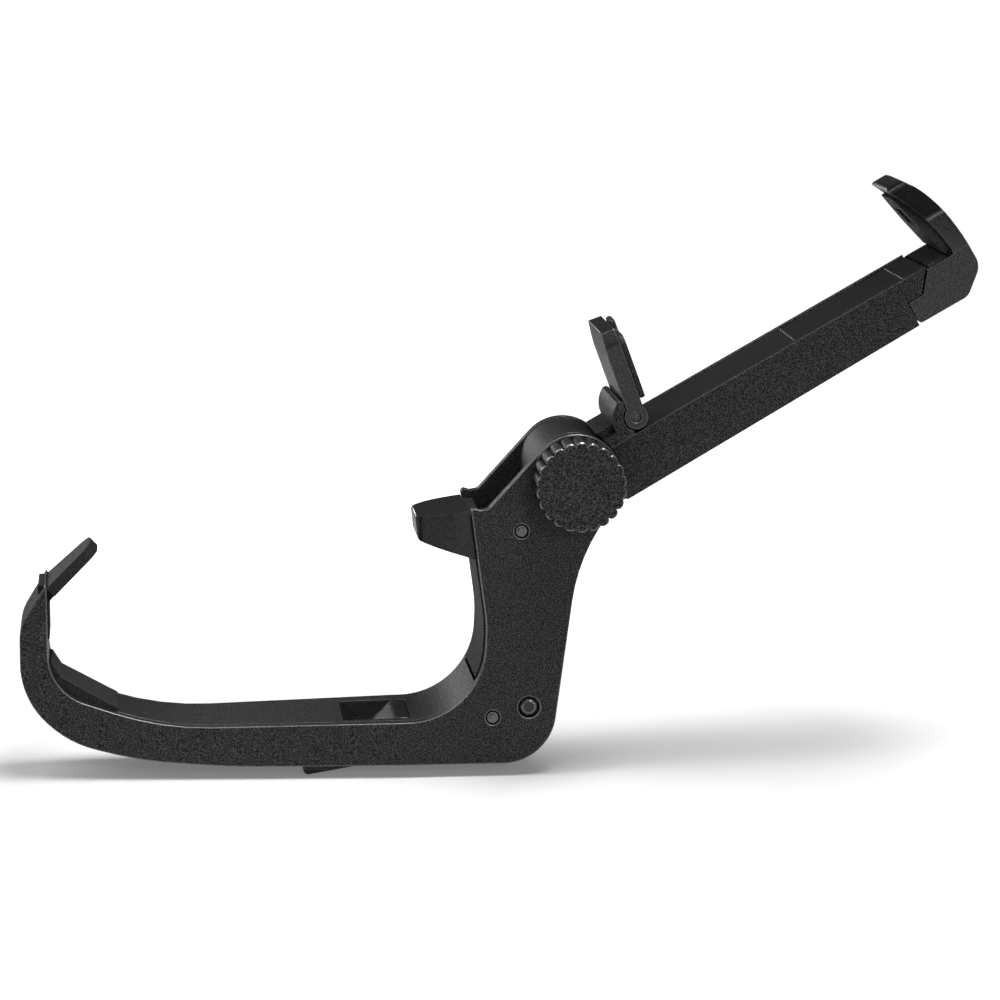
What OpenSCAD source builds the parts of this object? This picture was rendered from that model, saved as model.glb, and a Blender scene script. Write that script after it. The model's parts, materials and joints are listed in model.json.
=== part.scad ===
// Clip that clamps a phone above a game controller.
// A hook-shaped frame grips the controller, a tilting arm carries two jaws that grip the phone.
// Frame axes: +X runs from the hook to the column, +Y away from the knob, +Z up.
// The origin is on the frame's flat underside, below the column, half way across its width.

/* [Frame] */
// Width of the frame at the column
frame_w = 28; // [26:0.5:34]
// Width of the frame at the hook
hook_w = 19; // [17:0.5:24]
// Thickness of the front cover and of the rear plate
plate_t = 2.7; // [2.4:0.1:3.2]
// Clear length from the column to the hook
inner_len = 88.4; // [80:0.2:96]
// Thickness of the frame under the controller
strap_t = 9.2; // [8.6:0.1:11]
// Thickness of the frame in the upright part of the hook
hook_wall = 5.7; // [5:0.1:7]
// Height of the hook where its tip starts
hook_h = 38; // [34:0.5:44]
// Distance from the origin to the column's inner face
col_in = 3.9; // [2.5:0.1:5]
// Depth of the column at its foot, from its inner face to its back
col_t = 14; // [13.5:0.1:17]
// Radius of the heel at the back of the column
heel_r = 11; // [6:0.5:12]
// Thickness of the column's back wall
back_t = 2; // [1.6:0.1:2.4]

/* [Hook tip] */
// Length of the blade at the end of the hook
blade_len = 13.4; // [10:0.2:18]
// Thickness of the blade
blade_t = 2.3; // [1.8:0.1:3]
// Width of the blade at its free end
blade_end_w = 12; // [9:0.5:15]
// Slope of the blade above the horizontal, in degrees
blade_angle = 43.4; // [35:0.2:50]

/* [Clamp lever] */
// Height of the lever's pin above the underside
pin_z = 11.75; // [11:0.05:13]
// Radius of the lever's pin
pin_r = 2.2; // [1.8:0.05:2.4]
// Thickness of the lever's face wall
lever_t = 2.4; // [1.8:0.1:2.6]
// Thickness of the lever's two side ribs
rib_t = 1.6; // [1.2:0.1:2.4]
// Height at which the lever's face starts above the slits
slit_z = 17.4; // [16.5:0.1:19]
// How far the nose reaches over the controller from the column
nose_len = 13; // [10:0.1:16]
// Width of the nose at its tip
nose_tip_w = 12.6; // [9:0.2:16]

/* [Release tab] */
// Width of the sprung tab under the frame
tab_w = 17.8; // [14:0.2:18]
// How far the tab's tip stands below the underside
tab_drop = 2.6; // [1.5:0.1:3.2]
// Length of the tab from its pin to its tip
tab_len = 19.5; // [16:0.1:21]

/* [Tilt pivot] */
// Distance of the tilt pivot behind the column's inner face
pivot_out = 19.4; // [18:0.1:21]
// Height of the tilt pivot above the underside
pivot_z = 58.9; // [56:0.1:64]
// Radius of the plates' round head at the pivot
head_r = 9.4; // [9:0.1:10.5]
// Radius of the pivot bolt
bolt_r = 2.5; // [2:0.1:3]

/* [Knob] */
// Number of rounded lobes round the knob
knob_lobes = 22; // [16:1:28]
// Outer radius of the knob
knob_r = 9.25; // [8.6:0.05:10.5]
// Thickness of the knob
knob_t = 9.8; // [8.5:0.1:12]

/* [Arm] */
// Angle of the arm above the horizontal, in degrees
arm_angle = 29.5; // [25:0.5:35]
// Width of the arm
arm_w = 25.2; // [24:0.1:26]
// Length of the arm from the pivot to the end of its top
arm_len = 83.4; // [76:0.2:92]
// Height of the arm's top above the pivot
arm_top = 1.8; // [1:0.1:2]
// Depth of the arm's underside below the pivot at its far end
arm_deep = 8.1; // [7.8:0.1:8.6]
// Thickness of the arm's side walls
arm_wall = 2.4; // [2:0.1:2.8]
// Thickness of the arm's floor
arm_floor = 1.5; // [1.2:0.1:1.6]
// Length of the smooth inlay in the arm's top
inlay_len = 25.3; // [20:0.1:30]
// Length of the sloped cap that ends the arm's top
cap_len = 5; // [4:0.1:7]

/* [Lower jaw] */
// Distance of the jaw's hinge from the tilt pivot, along the arm
hinge_u = 17; // [16.5:0.1:19]
// Height of the jaw's hinge above the arm's top
hinge_up = 2.9; // [2.8:0.05:3.4]
// Radius of the jaw's hinge knuckles
knuckle_r = 2.45; // [2.2:0.05:2.5]
// Radius of the jaw's hinge pin
hinge_pin_r = 1; // [0.8:0.05:1.2]
// Height of the lower jaw above its hinge
jaw_h = 18.8; // [16:0.1:24]
// Thickness of the lower jaw's foot without its pad
jaw_t = 3.45; // [3:0.05:4]
// Lean of the lower jaw towards the upper jaw, in degrees
jaw_lean = 9.5; // [6:0.5:12]
// Thickness of the lower jaw's pad
jaw_pad_t = 1.2; // [0.8:0.05:1.3]

/* [Upper jaw] */
// Height of the finger above the arm's top
finger_h = 17.4; // [15:0.1:24]
// Width of the finger's tip
finger_tip_w = 17.2; // [12:0.2:20]
// How far the finger's pad stands proud of the finger at its foot
finger_pad_t = 1.4; // [0.8:0.1:1.8]
// Number of ribs on the pad at the foot of the finger
floor_ribs = 7; // [4:1:9]
// Travel of the upper jaw
jaw_travel = 30; // [20:1:32]

/* [Fits] */
// Radial clearance of a pin or bolt in what turns on it
run_fit = 0.05; // [0.02:0.01:0.1]
// Side clearance of a part that moves between two walls
side_gap = 0.3; // [0.2:0.05:0.4]

/* [Hidden] */

// Colours
grained = [0.11, 0.11, 0.115];
satin = [0.09, 0.09, 0.095];
gloss = [0.05, 0.05, 0.055];
soft = [0.14, 0.14, 0.145];
steel = [0.62, 0.62, 0.64];
brass = [0.72, 0.58, 0.32];

// Round surfaces
$fn = 64;
arc_step = 5;
seat = 0.02;

// Frame places
half_w = frame_w / 2;
gap_half = half_w - plate_t;
taper_x = -13;
hook_in = col_in - inner_len;
hook_out = hook_in - hook_wall;
heel_x = col_in + col_t;
pivot = [col_in + pivot_out, pivot_z];
lever_pin = [heel_x - 4.23, pin_z];
upper_screw = [col_in + 8.2, pivot_z - 10.45];
lower_screw = [col_in + 2.3, strap_t + 0.5];
back_corner = [pivot.x + 0.4, pivot_z - 17.2];
slope_foot = [col_in + 1.5, pivot_z - 5.7];
ear_valley = [col_in - 0.2, pivot_z - 6];
ear = [col_in - 2.2, pivot_z - 5.3];
web_top = pivot_z - 12.9;
inner_edge_mid = [col_in + 1.1, pivot_z - 29.9];
strap_low = [hook_in + 23, strap_t - 1];

// Screws of the covers
screw_r = 0.8;
screw_head_r = 1.35;
screw_head_t = 1;
screw_sink = 0.3;

// Clamp lever
boss_r = pin_r + 1.3;
boss_gap = 0.4;
lever_half = gap_half - side_gap / 2;
lever_top = pivot_z - 7.5;
coil_half = 3.4;
slit_gap = 0.35;
nose_z = pivot_z - 8.6;

// Release tab
tab_pin = [col_in - 15.9, strap_t / 2];
barrel_r = strap_t / 2 - 0.15;
tab_pin_r = 1;
slot_gap = 0.3;
tab_tip_r = 1.1;
slot_len = 12.3;
press_angle = asin((tab_drop + 0.3) / tab_len);

// Tilt pivot
washer_t = 0.55;
washer_r = 8;
hub_r = head_r - 0.1;
hub_half = gap_half - washer_t - run_fit;
bush_r = bolt_r + 1.1;
bolt_head_af = 8;
bolt_head_t = 3.4;
bolt_boss_r = 7.2;
bolt_boss_t = 2.2;
bolt_head_y = half_w + bolt_boss_t - 0.2;
knob_gap = 0.25;
knob_back = -half_w - knob_gap;
knob_front = knob_back - knob_t;
knob_washer_r = 5.5;
knob_washer_t = 1;

// Arm
arm_half = arm_w / 2;
joint_u = arm_len - 6.7;
joint_v = -2.65;
joint_gap = 0.3;
cavity_u = 15.4;
inlay_end = arm_len - cap_len;
cover_end = inlay_end - inlay_len;
lid_t = 1.6;
lid_drop = 0.15;
lid_seat = arm_top - lid_drop - lid_t;
lid_half = arm_half - 1.6;
cavity_half = arm_half - arm_wall;
hub_deep = -hub_r;

// Lower jaw
hinge = [hinge_u, arm_top + hinge_up];
jaw_half = arm_half - 0.1;
centre_half = 5.7;
jaw_back = -1.4;
jaw_shoulder = jaw_h - 3.4;
block_half = jaw_half - 3.8;
pocket_half = arm_half - 0.9;

// Upper jaw
rail_half = cavity_half - 0.2;
rail_low = arm_floor - arm_deep + 0.3;
rail_high = lid_seat - 0.3;
rail_start = cavity_u + jaw_travel - 9;
rail_end = arm_len + 4;
rail_wall = 1.4;
spring_start = cavity_u + 5.6;
spring_end = rail_start + 26;
spring_y = 4;
coil_r = 1.6;
spring_v = (arm_floor - arm_deep + rail_high - rail_wall) / 2;
finger_foot = arm_top - 0.25;
finger_out = arm_len + 10;
finger_in = arm_len + 6.5;
finger_top = arm_top + finger_h;
jaw_low = 0.25 - arm_deep;

// Moves from a profile drawn in X and Z to a slab between two Y values
module along_y(y0, y1) {
    translate([0, y1, 0]) rotate([90, 0, 0]) linear_extrude(y1 - y0) children();
}

// A cylinder along Y, between two Y values
module pin_y(at, r, y0, y1) {
    translate([at.x, y1, at.y]) rotate([90, 0, 0]) cylinder(h = y1 - y0, r = r);
}

// Places what is drawn along the arm, from the tilt pivot
module on_arm() {
    translate([pivot.x, 0, pivot.y]) rotate([0, -arm_angle, 0]) children();
}

// Places what is drawn upright on the lower jaw's hinge
module on_jaw() {
    on_arm() translate([hinge.x, 0, hinge.y]) rotate([0, jaw_lean, 0]) children();
}

module both_sides() {
    children();
    mirror([0, 1, 0]) children();
}

function unit(v) = v / norm(v);
function polar(r, a) = r * [cos(a), sin(a)];
function angle_of(v) = atan2(v.y, v.x);

// Points on an arc about a centre, from one angle to another
function arc(centre, r, a0, a1) =
    let (steps = max(2, ceil(abs(a1 - a0) / (2 * arc_step))))
    [for (i = [0:steps]) centre + polar(r, a0 + (a1 - a0) * i / steps)];

// The arc that rounds corner b between its neighbours a and c
function corner_arc(a, b, c, r) =
    let (u = unit(a - b), v = unit(c - b))
    let (half = acos(max(-1, min(1, u * v))) / 2)
    let (centre = b + unit(u + v) * r / sin(half), reach = r / tan(half))
    let (start = angle_of(b + u * reach - centre), stop = angle_of(b + v * reach - centre))
    let (turn = (stop - start + 540) % 360 - 180, steps = max(2, ceil(abs(turn) / arc_step)))
    [for (i = [0:steps]) centre + polar(r, start + turn * i / steps)];

// A closed outline from corners given as [x, y, radius]
function rounded(corners) =
    let (n = len(corners))
    [for (i = [0:n - 1])
        let (b = corners[i], a = corners[(i + n - 1) % n], c = corners[(i + 1) % n])
        each b[2] > 0
            ? corner_arc([a.x, a.y], [b.x, b.y], [c.x, c.y], b[2])
            : [[b.x, b.y]]];

// The point where a line from p touches the circle round c, on one side of it
function touch(p, c, r, side) =
    c + polar(r, angle_of(p - c) + side * acos(r / norm(p - c)));

// A cubic curve between a and d that leaves towards b and arrives from c
function curve(a, b, c, d, steps = 10) =
    [for (i = [0:steps]) let (t = i / steps, s = 1 - t)
        s * s * s * a + 3 * s * s * t * b + 3 * s * t * t * c + t * t * t * d];

// A round wire through a list of points, with its rings turned by a fixed direction
module wire(points, r, sides, fixed) {
    n = len(points);
    function along(i) = unit(points[min(i + 1, n - 1)] - points[max(i - 1, 0)]);
    rings = [for (i = [0:n - 1])
        let (t = along(i), across = unit(cross(t, fixed)), up = cross(across, t))
        for (k = [0:sides - 1]) points[i] + r * (cos(360 * k / sides) * across + sin(360 * k / sides) * up)];
    skin = [for (i = [0:n - 2], k = [0:sides - 1])
        let (a = i * sides + k, b = i * sides + (k + 1) % sides)
        each [[a, b, b + sides], [a, b + sides, a + sides]]];
    start_cap = [[for (k = [sides - 1:-1:0]) k]];
    end_cap = [[for (k = [0:sides - 1]) (n - 1) * sides + k]];
    polyhedron(points = rings, faces = concat(skin, start_cap, end_cap));
}

// Half width of the frame at a place along X
function frame_half(x) =
    x >= taper_x ? half_w : half_w - (half_w - hook_w / 2) * (taper_x - x) / (taper_x - hook_out);

// The frame's side outline: hook, strap, heel, back, round head, slope, ear and inner edge
module frame_outline() {
    polygon(rounded([
        [hook_in - 0.3, hook_h, 0],
        [hook_out, hook_h - 8.7, 9],
        [hook_out, 14.5, 17],
        [hook_out + 9.7, 5.2, 22],
        [hook_out + 24.2, 1.5, 60],
        [hook_out + 42.2, 0, 150],
        [heel_x, 0, heel_r],
        [back_corner.x, back_corner.y, 38],
        concat(touch(back_corner, pivot, head_r, 1), 0),
        [pivot.x, pivot.y, 0],
        concat(touch(slope_foot, pivot, head_r, -1), 0),
        [slope_foot.x, slope_foot.y, 0.6],
        [ear_valley.x, ear_valley.y, 0.8],
        [ear.x, ear.y, 0.7],
        [inner_edge_mid.x, inner_edge_mid.y, 30],
        [col_in, strap_t, 16],
        [strap_low.x, strap_low.y, 60],
        [hook_in, strap_t + 6.7, 11],
        [hook_in, hook_h - 0.6, 0]
    ]));
    translate(pivot) circle(head_r);
}

// The frame seen from above, inset from its front and rear faces
module frame_plan(front_inset, rear_inset) {
    x_end = pivot.x + head_r + 5;
    x_hook = hook_out - 5;
    translate([0, 0, -5]) linear_extrude(pivot_z + head_r + 10)
        polygon([
            [x_hook, front_inset - frame_half(x_hook)], [taper_x, front_inset - half_w],
            [x_end, front_inset - half_w], [x_end, half_w - rear_inset],
            [taper_x, half_w - rear_inset], [x_hook, frame_half(x_hook) - rear_inset]
        ]);
}

// The room between the plates in which the lever swings and the arm tilts
module column_room() {
    room_r = boss_r + boss_gap;
    left = touch([col_in, slit_z - 0.4], lever_pin, room_r, 1);
    back_low = heel_x + (back_corner.x - heel_x) * pin_z / back_corner.y - back_t;
    back_high = heel_x + (back_corner.x - heel_x) * (web_top - 6) / back_corner.y - back_t;
    translate(lever_pin) circle(room_r);
    polygon([
        [col_in - 20, slit_z], [col_in - 2, slit_z], left, lever_pin,
        [back_low, pin_z], [back_high, web_top - 6], [pivot.x + 0.3, web_top],
        [pivot.x + head_r + 10, web_top], [pivot.x + head_r + 10, pivot_z + head_r + 10],
        [col_in - 20, pivot_z + head_r + 10]
    ]);
}

// Hollow for the release tab: a slot above its barrel and a pocket over its tip
module tab_room() {
    ceiling = tab_pin.y + 1.5;
    translate(tab_pin) circle(barrel_r + slot_gap);
    polygon([
        [tab_pin.x, -1], [tab_pin.x - tab_len - tab_tip_r - 1.5, -1],
        [tab_pin.x - tab_len - tab_tip_r - 1.5, 4.2], [tab_pin.x - slot_len, ceiling],
        [tab_pin.x - slot_len, strap_t + 1], [tab_pin.x, strap_t + 1]
    ]);
}

// The soft block in the hook's lower corner
module pad_profile() {
    polygon([
        [hook_in + 0.6, strap_t + 12.6], [hook_in + 2.6, strap_t + 9.4], [hook_in + 14.1, strap_t + 2.9], [hook_in + 13.7, strap_t + 1.2],
        [hook_in + 6.1, strap_t + 3.3], [hook_in + 1.3, strap_t + 7],
        [hook_in - 0.8, strap_t + 11]
    ]);
}

// The block's space between two planes, each inset from a face of the frame
module pad_room(front_inset, rear_inset) {
    intersection() {
        along_y(-half_w, half_w) pad_profile();
        frame_plan(front_inset, rear_inset);
    }
}

// The hook tip's leg, which lines the hook's inner face between the plates
module leg_profile(grow) {
    translate([hook_in - 1.8 - grow, 26.4 - grow])
        square([2.2 + 2 * grow, hook_h - 0.4 - 26.4 + grow]);
}

module main_shell() {
    leg_half = frame_half(hook_in) - plate_t - 0.2;
    color(grained) {
        difference() {
            intersection() {
                along_y(-half_w, half_w) frame_outline();
                frame_plan(plate_t, 0);
            }
            along_y(-half_w, gap_half) column_room();
            along_y(-tab_w / 2 - slot_gap, tab_w / 2 + slot_gap) tab_room();
            pad_room(plate_t - 1, plate_t);
            along_y(-leg_half, leg_half) leg_profile(0);
            pin_y(lower_screw, screw_r + seat, -half_w, 4);
            pin_y(lever_pin, pin_r + run_fit, -half_w, half_w + 1);
            pin_y(pivot, bolt_r + run_fit, gap_half - 1, half_w + 1);
            bolt_pocket();
            pin_y(tab_pin, tab_pin_r + seat, -gap_half - 1, gap_half - 0.5);
        }
        difference() {
            pin_y(upper_screw, screw_r + 1.7, -gap_half, gap_half);
            pin_y(upper_screw, screw_r + seat, -gap_half - 1, 4);
        }
        bolt_boss();
    }
}

// The six-sided pocket that keeps the bolt's head from turning
module bolt_pocket() {
    pin_y(pivot, (bolt_head_af / 2 + 0.1) / cos(30), bolt_head_y - bolt_head_t - 0.02, half_w + 9, $fn = 6);
}

// The round boss on the rear plate, round the bolt's head
module bolt_boss() {
    difference() {
        pin_y(pivot, bolt_boss_r, half_w, half_w + bolt_boss_t);
        bolt_pocket();
    }
}

module front_cover() {
    color(grained) difference() {
        intersection() {
            along_y(-half_w, 0) frame_outline();
            frame_plan(0, 0);
        }
        frame_plan(plate_t, 0);
        for (at = [upper_screw, lower_screw]) {
            pin_y(at, screw_r + 0.2, -half_w - 1, 0);
            pin_y(at, screw_head_r + 0.15, -half_w - 1, -half_w + screw_head_t + screw_sink);
        }
        pin_y(lever_pin, pin_r + run_fit, -half_w - 1, 0);
        pin_y(pivot, bolt_r + run_fit, -half_w - 1, 0);
    }
}

// A small screw along Y, with a socket in its head
module cover_screw(at) {
    head_y = -half_w + screw_sink;
    difference() {
        union() {
            pin_y(at, screw_head_r, head_y, head_y + screw_head_t);
            pin_y(at, screw_r, head_y + screw_head_t, 2);
        }
        pin_y(at, 0.6, head_y - 1, head_y + 0.6);
    }
}

module cover_screws() {
    color(steel) for (at = [upper_screw, lower_screw]) cover_screw(at);
}

module hook_tip() {
    leg_half = frame_half(hook_in) - plate_t - 0.2;
    root_half = hook_w / 2;
    root = [hook_in + 0.65, hook_h - 3.15];
    color(satin) {
        along_y(-leg_half, leg_half) leg_profile(0);
        translate([root.x, 0, root.y]) rotate([0, -blade_angle, 0]) linear_extrude(blade_t)
            polygon(rounded([
                [blade_t * tan(90 - blade_angle) * 0.5, -root_half, 0],
                [blade_len, -blade_end_w / 2, 4],
                [blade_len, blade_end_w / 2, 4],
                [blade_t * tan(90 - blade_angle) * 0.5, root_half, 0]
            ]));
        along_y(-leg_half, leg_half)
            polygon([
                [hook_in - 0.2, hook_h - 4], [root.x, root.y - 0.4],
                [root.x + 2.2, root.y + 2.1], [root.x - 0.4, root.y + 2.75], [hook_in - 0.2, hook_h - 0.6]
            ]);
    }
}

module corner_pad() {
    color(soft) pad_room(plate_t + 0.05, plate_t + 0.05);
}

module clamp_pin() {
    color(steel) translate([lever_pin.x, 0, lever_pin.y]) rotate([90, 0, 0])
        rotate_extrude() polygon([
            [0, -half_w + 0.4], [pin_r - 0.8, -half_w + 0.4], [pin_r, -half_w + 1],
            [pin_r, half_w - 1], [pin_r - 0.8, half_w - 0.4], [0, half_w - 0.4]
        ]);
}

// The column's inner edge, from the ear down into the bend at its foot
function inner_edge() = concat(
    [ear],
    corner_arc(ear, inner_edge_mid, [col_in, strap_t], 30),
    corner_arc(inner_edge_mid, [col_in, strap_t], strap_low, 16));

// The lever's face wall, just proud of the plates' inner edges
module lever_face() {
    edge = inner_edge();
    n = len(edge);
    intersection() {
        polygon(concat(
            [for (p = edge) p - [side_gap, 0]],
            [for (i = [n - 1:-1:0]) edge[i] + [lever_t - side_gap, 0]]));
        translate([col_in - 14, slit_z + slit_gap]) square([24, lever_top - slit_z - slit_gap]);
    }
}

// The lever's side rib, from its boss up behind the face wall
module lever_rib() {
    foot = [col_in + 0.4, slit_z + slit_gap];
    top = [col_in + 1.6, nose_z - 7];
    low = touch(foot, lever_pin, boss_r, 1);
    high = touch(top, lever_pin, boss_r, -1);
    translate(lever_pin) circle(boss_r);
    polygon([foot, low, lever_pin, high, top]);
}

module clamp_lever() {
    color(grained) {
        difference() {
            along_y(-lever_half, lever_half) lever_face();
            translate([col_in, 0, nose_z - 3.2]) rotate([0, 90, 0])
                cylinder(h = 12, r = screw_r + 0.2, center = true);
            translate([col_in + 1.3, 0, nose_z - 3.2]) rotate([0, 90, 0]) cylinder(h = 6, r = 2);
        }
        both_sides() difference() {
            union() {
                along_y(lever_half - rib_t, lever_half) lever_rib();
                pin_y(lever_pin, boss_r, coil_half, lever_half);
            }
            pin_y(lever_pin, pin_r + run_fit, 0, half_w);
        }
    }
}

// The nose that hooks over the controller: a side profile cut to a plan that narrows to its tip
module clamp_nose() {
    tip_x = col_in - nose_len;
    root_half = lever_half - 0.2;
    function flank(t) = nose_tip_w / 2 + (root_half - nose_tip_w / 2) * (1 - pow(1 - t, 5));
    places = [for (i = [0:9]) pow(i / 9, 2)];
    front = [for (t = places) [tip_x + (nose_len + 1) * t, -flank(t)]];
    back = [for (i = [9:-1:0]) [front[i].x, -front[i].y]];
    color(gloss) difference() {
        intersection() {
            along_y(-half_w, half_w) polygon(rounded([
                [tip_x, nose_z + 0.4, 0.6], [tip_x + 0.5, nose_z - 4.5, 1],
                [col_in + 2, nose_z - 9.1, 0], [col_in + 2, nose_z + 2.6, 0]
            ]));
            translate([0, 0, nose_z - 12]) linear_extrude(20) polygon(concat(front, back));
        }
        along_y(-half_w, half_w) translate([-side_gap, 0]) frame_outline();
        translate([col_in - 7, 0, nose_z - 3.2]) rotate([0, 90, 0]) cylinder(h = 14, r = screw_r + seat);
    }
}

module nose_screw() {
    color(steel) translate([col_in + 1.3, 0, nose_z - 3.2]) rotate([0, 90, 0]) {
        translate([0, 0, -7]) cylinder(h = 7.1, r = screw_r);
        cylinder(h = 1, r = 1.8);
    }
}

// A coil on a pin along Y with a leg at each end, for a lever that swings on that pin
module torsion_spring(at, mean_r, wire_r, turns, pitch, leg_a, leg_b) {
    steps = 12;
    start_y = -turns * pitch / 2;
    coil = [for (i = [0:turns * steps])
        let (a = 90 + 360 * i / steps) [at.x + mean_r * cos(a), start_y + pitch * i / steps, at.y + mean_r * sin(a)]];
    path = concat([[leg_a.x, start_y, leg_a.y]], coil, [[leg_b.x, -start_y, leg_b.y]]);
    color(steel) wire(path, wire_r, 6, [0, 1, 0]);
}

module clamp_spring() {
    torsion_spring(lever_pin, pin_r + 0.6, 0.3, 5, 0.95,
        lever_pin + [-6.5, 7.5], lever_pin + [4.2, 9]);
}

module release_tab() {
    tip = tab_pin + [-tab_len, -tab_pin.y - tab_drop + tab_tip_r];
    reach = angle_of(tip - tab_pin);
    side = acos((barrel_r - tab_tip_r) / norm(tip - tab_pin));
    color(satin) difference() {
        along_y(-tab_w / 2, tab_w / 2) polygon(concat(
            arc(tab_pin, barrel_r, -90, reach + 360 - side),
            arc(tip, tab_tip_r, reach + 360 - side, 280),
            [tab_pin + [-3, -barrel_r]]
        ));
        pin_y(tab_pin, tab_pin_r + run_fit, -half_w, half_w);
        along_y(-2.4, 2.4) translate(tab_pin + [-2.2, -2.6]) square([barrel_r + 3, 5.2]);
    }
}

module release_pin() {
    color(steel) pin_y(tab_pin, tab_pin_r, -gap_half + 0.5, gap_half - 0.7);
}

module release_spring() {
    torsion_spring(tab_pin, tab_pin_r + 0.35, 0.2, 4, 0.55,
        tab_pin + [-1.4, 1.35], tab_pin + [3.6, 1.5]);
}

module pivot_bolt() {
    tip_y = knob_front + 2.6;
    color(steel) {
        pin_y(pivot, bolt_head_af / 2 / cos(30), bolt_head_y - bolt_head_t, bolt_head_y, $fn = 6);
        pin_y(pivot, bolt_r, tip_y, bolt_head_y - bolt_head_t);
    }
}

// A flat ring on the pivot, between two Y values
module ring_y(r_in, r_out, y0, y1) {
    difference() {
        pin_y(pivot, r_out, y0, y1);
        pin_y(pivot, r_in, y0 - 1, y1 + 1);
    }
}

module knob_washer() {
    color(steel) ring_y(bolt_r + 0.15, knob_washer_r, -half_w - knob_washer_t, -half_w);
}

module friction_washers() {
    color(soft) both_sides() ring_y(bush_r + 0.1, washer_r, hub_half, hub_half + washer_t);
}

module pivot_bush() {
    color(brass) ring_y(bolt_r + run_fit, bush_r, -hub_half, hub_half);
}

// The knob's lobed outline
module knob_outline() {
    lobe_r = 0.95;
    circle(knob_r - lobe_r);
    for (i = [0:knob_lobes - 1])
        rotate(360 * i / knob_lobes) translate([knob_r - lobe_r - 0.1, 0]) circle(lobe_r, $fn = 24);
}

module clamp_knob() {
    insert_r = bolt_r + 1.6;
    color(grained) difference() {
        union() {
            along_y(knob_front, knob_back - 1.3) translate(pivot) knob_outline();
            pin_y(pivot, knob_r, knob_back - 1.3, knob_back);
        }
        pin_y(pivot, knob_washer_r + 0.3, -half_w - knob_washer_t - 0.15, knob_back + 1);
        pin_y(pivot, insert_r, knob_front + 1.8, knob_back + 1);
    }
}

module knob_insert() {
    color(brass) ring_y(bolt_r + run_fit, bolt_r + 1.6, knob_front + 2, -half_w - knob_washer_t - 0.3);
}

// The arm's side outline: round hub and a bar that tapers to the stepped end
module arm_outline() {
    circle(hub_r);
    polygon([
        [0, hub_deep], [joint_u, -arm_deep], [joint_u, joint_v], [joint_u + 3.4, joint_v],
        [arm_len, arm_top], [0, arm_top]
    ]);
}

module arm_channel() {
    floor_start = hub_deep + (hub_r - arm_deep) * cavity_u / joint_u + arm_floor;
    color(grained) on_arm() difference() {
        union() {
            intersection() {
                along_y(-arm_half, arm_half) arm_outline();
                translate([-hub_r - 1, -hub_half, -20]) cube([hub_r * 2 + 2, 2 * hub_half, 60]);
            }
            along_y(-arm_half, arm_half) difference() {
                arm_outline();
                circle(head_r + side_gap);
                translate([-20, -20]) square([20, 40]);
                polygon([[-1, -12], [-1, -7.9], [5.5, -7.9], [7.7, -9.4], [10, -12]]);
            }
        }
        along_y(-cavity_half, cavity_half) polygon([
            [cavity_u, floor_start], [arm_len + 9, arm_floor - arm_deep],
            [arm_len + 9, arm_top + 5], [cavity_u, arm_top + 5]
        ]);
        along_y(-lid_half, lid_half) translate([cavity_u, lid_seat]) square([arm_len, 10]);
        rotate([90, 0, 0]) cylinder(h = frame_w, r = bush_r, center = true);
        both_sides() arm_screw_hole();
    }
    color(grained) on_arm() both_sides() spring_post(spring_start, floor_start);
}

// A post on the arm's floor that anchors a spring
module spring_post(u, floor_v) {
    translate([u, spring_y, floor_v - 0.3]) cylinder(h = spring_v + 1.6 - floor_v, r = 1.1);
}

arm_screw_u = 12.7;
arm_screw_y = 7;

module arm_screw_hole() {
    translate([arm_screw_u, arm_screw_y, -12]) {
        cylinder(h = 30, r = screw_r + seat);
        cylinder(h = 12 - 7.6, r = screw_head_r + 0.15);
    }
}

module arm_screws() {
    color(steel) on_arm() both_sides() translate([arm_screw_u, arm_screw_y, -7.6]) {
        cylinder(h = 7.6 + arm_top + 1.4, r = screw_r);
        translate([0, 0, -screw_head_t]) cylinder(h = screw_head_t, r = screw_head_r);
    }
}

// A lid between the arm's side walls, from one place along the arm to another
module arm_lid(u0, u1, drop) {
    on_arm() translate([u0, 0.1 - lid_half, lid_seat])
        cube([u1 - u0, 2 * lid_half - 0.2, lid_t - drop]);
}

module arm_cover() {
    color(satin) arm_lid(cavity_u + 0.05, cover_end - 0.05, 0);
}

module arm_inlay() {
    color(gloss) arm_lid(cover_end, inlay_end - 0.05, 0.1);
}

module arm_end_cap() {
    color(satin) on_arm() along_y(0.1 - lid_half, lid_half - 0.1) polygon([
        [inlay_end, lid_seat], [arm_len - 1.5, lid_seat],
        [arm_len - 0.1, lid_seat + lid_t], [inlay_end, lid_seat + lid_t]
    ]);
}

// The bracket's curved backstop, behind the lower jaw
module backstop_profile() {
    polygon(concat(
        [[11.9, arm_top]],
        curve([11.9, arm_top + 1.9], [11.9, arm_top + 4.4], [12.9, arm_top + 6.2], [14.9, arm_top + 7.4], 8),
        [[15.6, arm_top + 7.4], [16.1, arm_top + 6.9], [15.2, arm_top + 2.9], [15.2, arm_top]]
    ));
}

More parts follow.
